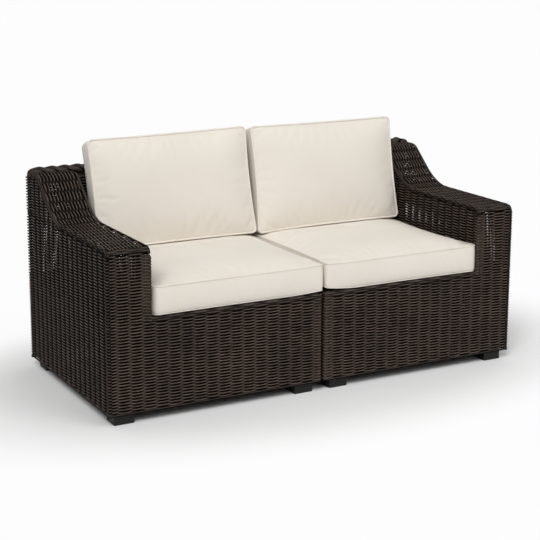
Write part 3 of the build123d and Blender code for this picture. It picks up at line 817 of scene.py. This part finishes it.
def makePlait():
    strands, core = Bundle(), Bundle()
    centreY = (rollFront + form["depth"]) / 2
    centreZ = form["backDeck"] + form["rollHeight"] / 2 + plait["lift"]
    bend, half = plait["endBend"], math.pi / 2
    bendStart = form["halfWidth"] + plait["overhang"] - plait["halfHeight"] - bend
    runs = np.linspace(form["seamFace"] + plait["start"], bendStart + bend * half + 0.004,
                       int(form["halfWidth"] / plait["lay"] * plait["samples"]))
    angle = np.clip((runs - bendStart) / bend, 0, half)  # the end curves down over the outer side
    below = np.clip(runs - bendStart - bend * half, 0, None)
    axisX = np.where(angle > 0, bendStart + bend * np.sin(angle), runs)
    axisZ = centreZ - bend * (1 - np.cos(angle)) - below
    wide, tall = plait["halfDepth"] - plait["strandRadius"], plait["halfHeight"] - plait["strandRadius"]
    turns = np.linspace(0, 2 * math.pi, 241)
    oval = np.stack([wide * np.cos(turns), tall * np.sin(turns)], axis=1)
    around = np.concatenate(([0.0], np.cumsum(np.linalg.norm(np.diff(oval, axis=0), axis=1))))
    around /= around[-1]

    def place(y, up):
        return np.stack([axisX + up * np.sin(angle), centreY + y, axisZ + up * np.cos(angle)], axis=1)

    total = plait["bundles"] * plait["strands"]
    swing = 2 * math.pi * plait["bundles"] * (runs / plait["lay"] + 0.25) - math.pi
    height = 1 + plait["pulse"] * np.cos(swing)  # the roll is highest where a bundle crosses its top
    for number in range(total):
        part = (number % plait["strands"] + 0.5) / plait["strands"] - 0.5
        share = (number / total - runs / plait["lay"]) % 1.0
        out = 1 + plait["bulge"] * (math.cos(math.pi * part) - 0.6) / tall  # each bundle is rounded
        up = np.interp(share, around, oval[:, 1]) * out * height
        y = np.interp(share, around, oval[:, 0]) * (1 + (out - 1) * tall / wide)
        points = place(y, up)
        rank = number % plait["strands"]  # the first strands of a bundle are drawn darker: painted shade between the bundles
        edge = plait["edgePhases"][rank] if rank < len(plait["edgePhases"]) else 0.0
        outY, outUp = y / wide ** 2, up / tall ** 2
        length = np.hypot(outY, outUp)
        faceOut = np.stack([outUp * np.sin(angle), outY, outUp * np.cos(angle)], axis=1) / length[:, None]
        strands.add(points, faceOut, edge, 1.0, 0.0)
    for aside in plait["corePlaces"]:
        points = place(np.full(len(runs), aside), 0.0)
        core.add(points, np.zeros_like(points))
    return strands, core


rollStrands, rollCore = makePlait()
for sideName, sign in sides.items():
    name = f"{sideName}_back_top_plait"
    # painted shade: the plait's shade value and edgePhases darken its strands, most of all each bundle's
    # first strands
    meshes = [strandMesh(name, rollStrands, sign, plait["strandRadius"], around=8, finish=wickerBorder,
                         shade=plait["shade"]),
              strandMesh(name, rollCore, sign, plait["core"], around=10, finish=wicker)]
    settle(joinMeshes(name, meshes), f"{sideName}_module", "wicker", f"{sideName}_back_top_roll")
print("plait made")


# Cushions

cushionSizes = {
    "seat": {
        "left": (-0.657, 0.007), "right": (0.017, 0.662), "length": 0.599, "thickness": 0.096, "crown": 0.022,
        "corner": 0.014, "outerCorner": {"left": 0.042, "right": 0.010},
        "curl": {"left": 0.002, "right": 0.004}, "innerCurl": 0.004,
        "underCurl": {"left": 0.007, "right": 0.013}, "armPress": {"left": 0.7, "right": 0.0},
        "pressedFrom": 0.09, "drawIn": 0.010, "armDrawIn": {"left": 0.010, "right": 0.019}, "edge": 0.0015,
        "taper": 0.0, "drop": 0.003, "bow": 0.001, "frontPiping": 0.0010, "rearPiping": 0.0018, "spread": 0.0,
        "tilt": 0.0, "sag": 0.0, "droop": 0.0},
    "back": {
        "left": (-0.636, 0.000), "right": (0.024, 0.648), "length": 0.395, "thickness": 0.115, "crown": 0.026,
        "corner": 0.016, "outerCorner": 0.016, "curl": 0.0, "innerCurl": 0.0, "underCurl": 0.0,
        "armPress": 0.0, "pressedFrom": 1.0, "drawIn": 0.006, "armDrawIn": 0.006, "edge": 0.008,
        "taper": 0.018, "drop": 0.0, "bow": 0.0035, "frontPiping": 0.0040, "rearPiping": 0.0036,
        "spread": 0.007, "tilt": 0.004, "sag": 0.003, "droop": 0.007},
    "round": 9, "spacing": 0.0085, "startShare": 0.75, "pressure": 4.0, "cap": 0.026, "boxingShare": 0.35,
    "armReach": 0.07, "seamReach": 0.12, "flatReach": 0.24, "pressedShare": 0.65, "frames": 20,
    "bending": 2.0, "shrink": -0.010, "thinSeam": 0.0015, "front": 0.012, "gap": 0.0003, "rest": 0.092,
}


def fade(distance, reach):  # 1 at no distance, 0 from the reach on
    return np.clip(1 - distance / reach, 0, 1)


# The flat outline of a cushion's front face, and how far each point of it rises
def cushionGrid(size, spacing, inner):
    countX = int(round(size["width"] / spacing))
    countY = int(round(size["length"] / spacing))
    xs = np.linspace(-size["width"] / 2, size["width"] / 2, countX + 1)
    ys = np.linspace(-size["length"] / 2, size["length"] / 2, countY + 1)
    gx, gy = np.meshgrid(xs, ys, indexing="ij")
    halfX, halfY = size["width"] / 2, size["length"] / 2
    corner = np.where(gx * inner > 0, size["corner"], size["outerCorner"])
    a = np.clip((np.abs(gx) - halfX + corner) / corner, 0, 1)
    b = np.clip((np.abs(gy) - halfY + corner) / corner, 0, 1)
    px = np.where(a * b > 0, halfX - corner + corner * a * np.sqrt(1 - b * b / 2), np.abs(gx))
    py = np.where(a * b > 0, halfY - corner + corner * b * np.sqrt(1 - a * a / 2), np.abs(gy))
    shareX, shareY = np.clip(px / halfX, 0, 1), np.clip(py / halfY, 0, 1)
    drawIn = np.where(gx * inner > 0, size["drawIn"], size["armDrawIn"])
    px = px * (1 - drawIn / halfX * (1 - shareY ** 2))
    py = py * (1 - size["drawIn"] * 0.4 / halfY * (1 - shareX ** 2))
    px, py = px * np.sign(gx), py * np.sign(gy)
    riseX = 1 - shareX ** cushionSizes["round"]
    riseY = 1 - shareY ** cushionSizes["round"]
    return countX, countY, gx, gy, px, py, riseX * riseY


def boundary(countX, countY):
    ring = [(i, 0) for i in range(countX)] + [(countX, j) for j in range(countY)]
    ring += [(i, countY) for i in range(countX, 0, -1)] + [(0, j) for j in range(countY, 0, -1)]
    return ring


def makeCushion(name, size, spacing, inner):
    countX, countY, gx, gy, px, py, rise = cushionGrid(size, spacing, inner)
    crown = size["crown"] * cushionSizes["startShare"]
    toArm, toSeam = 0.5 + inner * px / size["width"], 0.5 - inner * px / size["width"]
    seam = size["thickness"] - size["drop"] * (py + size["length"] / 2) / size["length"]
    seam = (seam + size["curl"] * fade(toArm, cushionSizes["armReach"]) ** 2
            + size["innerCurl"] * fade(toSeam, cushionSizes["seamReach"]))  # its ends are pushed up
    flattened = size["armPress"] * fade(toArm, cushionSizes["flatReach"])
    rise = rise * (1 - flattened)  # and its top lies flatter towards the arm
    top = np.stack([px, py, seam + crown * rise], axis=2).reshape(-1, 3)
    insetX = 1 - (size["edge"] + size["taper"]) / (size["width"] / 2)
    insetY = 1 - (size["edge"] + size["taper"] * 0.5) / (size["length"] / 2)
    bottom = np.stack([px * insetX, py * insetY, px * 0], axis=2).reshape(-1, 3)
    ring = boundary(countX, countY)
    ringIndex = np.array([i * (countY + 1) + j for i, j in ring])
    layers = int(round(size["thickness"] / spacing))
    points = [top, bottom]
    total = len(top) * 2
    rings = [ringIndex]
    for layer in range(1, layers):
        share = layer / layers
        bow = size["bow"] * math.sin(math.pi * share)
        height = (1 - share) * top[ringIndex, 2]
        rounded = size["edge"] * np.clip((size["edge"] - height) / size["edge"], 0, 1) ** 2
        inset = ((rounded + size["taper"] * share ** 1.5) / (size["edge"] + size["taper"]))[:, None]
        flat = top[ringIndex, :2] * (1 - inset) + bottom[ringIndex, :2] * inset
        outward = flat / np.linalg.norm(flat, axis=1)[:, None]
        flat = flat + outward * bow
        points.append(np.column_stack([flat, height]))
        rings.append(np.arange(len(ringIndex)) + total)
        total += len(ringIndex)
    rings.append(ringIndex + len(top))
    faces, uvs = [], []
    flatUv = np.stack([gx, gy], axis=2).reshape(-1, 2)
    for base, turned, shiftUv in ((0, False, 0.0), (len(top), True, 2.0)):
        for i in range(countX):
            for j in range(countY):
                quad = [i * (countY + 1) + j, (i + 1) * (countY + 1) + j,
                        (i + 1) * (countY + 1) + j + 1, i * (countY + 1) + j + 1]
                quad = quad[::-1] if turned else quad
                faces.append([corner + base for corner in quad])
                uvs.extend(flatUv[corner] + shiftUv for corner in quad)
    closed = np.vstack([top[ringIndex], top[ringIndex[:1]]])[:, :2]
    around = np.concatenate(([0.0], np.cumsum(np.linalg.norm(np.diff(closed, axis=0), axis=1))))
    for layer in range(layers):
        upper, lower = rings[layer], rings[layer + 1]
        v0, v1 = (-number * size["thickness"] / layers - 1 for number in (layer, layer + 1))
        for k in range(len(ringIndex)):
            n = (k + 1) % len(ringIndex)
            faces.append([upper[k], lower[k], lower[n], upper[n]])
            uvs.extend([(around[k], v0), (around[k], v1), (around[k + 1], v1), (around[k + 1], v0)])
    points = np.vstack(points)
    frontShare = np.clip(0.5 - points[:, 1] / size["length"], 0, 1)  # 1 along the lower or front edge
    across = points[:, 0] / size["width"] + 0.5
    across = across if inner > 0 else 1 - across  # 1 at the end that meets the other cushion
    points[:, 0] += inner * size["spread"] * frontShare ** 2 * across ** 2
    points[:, 1] -= size["sag"] * frontShare ** 3
    points[:, 1] -= size["droop"] * frontShare ** 3 * across ** 6 * (inner < 0)
    points[:, 1] += size["tilt"] * (1 - frontShare) ** 2 * (2 * across - 1) * (inner > 0)
    nearSeam, nearFront = fade(1 - across, 0.2) ** 1.5, fade(1 - frontShare * 2, 0.3)
    lift = size["underCurl"] * nearSeam * nearFront  # the lower corner at the seam is lifted off
    points[:, 2] += lift * np.clip(1 - points[:, 2] / size["thickness"], 0, 1)
    mesh = bpy.data.meshes.new(name)
    mesh.from_pydata(points.tolist(), [], [list(map(int, face)) for face in faces])
    layer = mesh.uv_layers.new(name="canvasPlace")
    layer.data.foreach_set("uv", np.array(uvs, np.float32).ravel())
    mesh.polygons.foreach_set("use_smooth", [True] * len(mesh.polygons))
    mesh.materials.append(canvas)
    piece = newObject(name, mesh)
    pins = piece.vertex_groups.new(name="sewn")
    pins.add([int(v) for v in ringIndex] + [int(v) for v in range(len(top), 2 * len(top))], 1.0, "REPLACE")
    return piece, {"frontPiping": ringIndex, "rearPiping": ringIndex + len(top)}, len(top)


def readPoints(mesh):
    points = np.zeros(len(mesh.vertices) * 3, np.float32)
    mesh.vertices.foreach_get("co", points)
    return points.reshape(-1, 3).astype(float)


def inflate(piece, topCount, size, inner):
    modifier = piece.modifiers.new("filling", "CLOTH")
    cloth = modifier.settings
    cloth.quality = 5
    cloth.use_pressure = True
    cloth.uniform_pressure_force = cushionSizes["pressure"]
    cloth.effector_weights.gravity = 0
    cloth.vertex_group_mass = "sewn"
    cloth.bending_stiffness = cushionSizes["bending"]
    cloth.shrink_min = cushionSizes["shrink"]
    modifier.point_cache.frame_start = 1
    modifier.point_cache.frame_end = cushionSizes["frames"]
    for number in range(1, cushionSizes["frames"] + 1):
        scene.frame_set(number)
    graph = bpy.context.evaluated_depsgraph_get()
    puffed = bpy.data.meshes.new_from_object(piece.evaluated_get(graph), depsgraph=graph)
    start, end = readPoints(piece.data), readPoints(puffed)
    move = end - start
    length = np.linalg.norm(move, axis=1)[:, None]
    cap = cushionSizes["cap"]
    move = move * cap * np.tanh(length / cap) / np.maximum(length, 1e-9)
    move[2 * topCount:] *= cushionSizes["boxingShare"]
    tops = start[:topCount]
    pressed = np.clip((tops[:, 1] - size["pressedFrom"]) / 0.06, 0, 1)  # where the back cushion rests on it
    nearArm = fade(0.5 + inner * tops[:, 0] / size["width"], cushionSizes["flatReach"])
    free = (1 - cushionSizes["pressedShare"] * pressed) * (1 - size["armPress"] * nearArm)
    move[:topCount] *= free[:, None]
    piece.modifiers.remove(modifier)
    piece.data.vertices.foreach_set("co", (start + move).astype(np.float32).ravel())
    bpy.data.meshes.remove(puffed)
    scene.frame_set(1)
    print(piece.name, "filled, most movement", round(float(length.max()), 4))


seatTopRear = form["seatRailTop"] + cushionSizes["gap"] + cushionSizes["rest"]
backFootHeight = seatTopRear + 0.0005
backTilt = Matrix(((1, 0, 0), (0, leanSin, -leanCos), (0, leanCos, leanSin))).to_4x4()

for sideName, sign in sides.items():
    for kind in ("seat", "back"):
        size = {key: value[sideName] if isinstance(value, dict) else value
                for key, value in cushionSizes[kind].items()}
        first, last = size[sideName]
        size["width"] = last - first
        name = f"{sideName}_{kind}_cushion_cover"
        piece, seams, topCount = makeCushion(name, size, cushionSizes["spacing"], -sign)
        inflate(piece, topCount, size, -sign)
        if kind == "seat":
            middleY = cushionSizes["front"] + size["length"] / 2 - form["depth"] / 2
            height = form["seatRailTop"] + cushionSizes["gap"]
            place = Matrix.Translation(((first + last) / 2, middleY, height))
        else:
            footY = backFace(backFootHeight) - cushionSizes["gap"] / leanCos - form["depth"] / 2
            lift = Matrix.Translation((0, size["length"] / 2 + size["frontPiping"], 0))
            place = Matrix.Translation(((first + last) / 2, footY, backFootHeight)) @ backTilt @ lift
        piece.data.transform(place)
        smooth = piece.modifiers.new("smooth", "SUBSURF")
        smooth.levels = smooth.render_levels = 1
        body = f"{sideName}_{kind}_cushion"
        settle(piece, body, "cushion_fabric", body)
        meshes = []
        for seam, ringIndex in seams.items():
            if size[seam] > 0:
                ring = readPoints(piece.data)[ringIndex]
                if kind == "seat" and seam == "rearPiping":
                    ring[:, 2] += size[seam]  # it stays above the straps
                cord = Bundle()
                closed = np.vstack([ring, ring[:2]])
                cord.add(closed, np.zeros_like(closed))
                finish = canvasSeam if size[seam] < cushionSizes["thinSeam"] else canvas
                meshes.append(strandMesh(name + seam, cord, 1, size[seam], around=10, finish=finish,
                                         shift=False))
        piping = joinMeshes(f"{sideName}_{kind}_cushion_piping", meshes)
        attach(piping, body)
print("cushions made")


# Camera, floor and light

view = {
    "place": (-2.45517, -4.51212, 1.65122), "yaw": -0.4966, "pitch": -0.2184, "roll": 0.0031,
    "lens": 94.57, "shiftY": -40 / 540,
}


def makeCamera():
    camera = bpy.data.cameras.new("studioCamera")
    camera.lens = view["lens"]
    camera.sensor_width = 36.0
    camera.shift_y = view["shiftY"]
    camera.clip_end = 200
    holder = newObject("studioCamera", camera)
    yaw, pitch, roll = view["yaw"], view["pitch"], view["roll"]
    ahead = Vector((math.sin(-yaw) * math.cos(pitch), math.cos(yaw) * math.cos(pitch), math.sin(pitch)))
    right = ahead.cross(Vector((0, 0, 1))).normalized()
    up = right.cross(ahead)
    rolledRight = right * math.cos(roll) + up * math.sin(roll)
    rolledUp = up * math.cos(roll) - right * math.sin(roll)
    turn = Matrix((rolledRight, rolledUp, -ahead)).transposed().to_4x4()
    holder.matrix_world = Matrix.Translation(view["place"]) @ turn
    scene.camera = holder


floorSize = {"half": 60.0, "shadow": (0.95, 0.55), "clear": (1.0, 1.7), "most": 0.9}


def makeFloor():  # matt under the part, and white to the camera further out
    material, net = newMaterial("paleFloor")
    place = net.objectPlace()
    mottling = net.mixColours(net.noise(place, 3.0), (0.90, 0.90, 0.90, 1), (0.92, 0.92, 0.92, 1))
    paper = net.principled(Base_Color=mottling, Roughness=0.9, Specular_IOR_Level=0.1)
    glow = net.add("ShaderNodeEmission", {}, {"Color": (1, 1, 1, 1), "Strength": 1.0})
    seen = net.add("ShaderNodeLightPath", out="Is Camera Ray")
    spot = net.vector("MULTIPLY", place, (1 / floorSize["shadow"][0], 1 / floorSize["shadow"][1], 0))
    clear = net.smoothStep(net.vector("LENGTH", spot), *floorSize["clear"], 0.0, floorSize["most"])
    net.surface(net.mixShaders(seen * clear, paper, glow))
    mesh = bpy.data.meshes.new("studioFloor")
    half = floorSize["half"]
    mesh.from_pydata([(-half, -half, 0), (half, -half, 0), (half, half, 0), (-half, half, 0)], [],
                     [(0, 1, 2, 3)])
    mesh.materials.append(material)
    newObject("studioFloor", mesh)


lights = {
    "worldStrength": 0.51, "skyColour": (0.992, 0.990, 0.982, 1),
    "suns": (("keySun", (-42, 46), 1.49, 25), ("fillSun", (28, 42), 0.60, 35)),  # turn, height, power, spread
}


def makeLight():
    world = bpy.data.worlds.new("studio")
    scene.world = world
    world.use_nodes = True
    world.node_tree.nodes.clear()
    net = Net(world.node_tree)
    upward = net.axis(net.add("ShaderNodeTexCoord", out="Generated"), "Z")
    ceiling = net.smoothStep(upward, 0.0, 0.8, 0.25, 1.0)
    soft = net.add("ShaderNodeBackground", {}, {
        "Color": lights["skyColour"], "Strength": ceiling * lights["worldStrength"]})
    white = net.add("ShaderNodeBackground", {}, {"Color": (1, 1, 1, 1), "Strength": 1.0})
    path = net.tree.nodes.new("ShaderNodeLightPath")
    seen = Link(net, path.outputs["Is Camera Ray"])
    clear = seen.math("MAXIMUM", seen, Link(net, path.outputs["Is Transmission Ray"]))
    net.add("ShaderNodeOutputWorld", {}, {"Surface": net.mixShaders(clear, soft, white)})
    for name, (turn, height), power, spread in lights["suns"]:
        lamp = bpy.data.lights.new(name, "SUN")
        lamp.energy = power
        lamp.angle = math.radians(spread)
        newObject(name, lamp).rotation_euler = (math.radians(90 - height), 0, math.radians(turn))


makeCamera()
makeFloor()
makeLight()
print("camera, floor and light made")
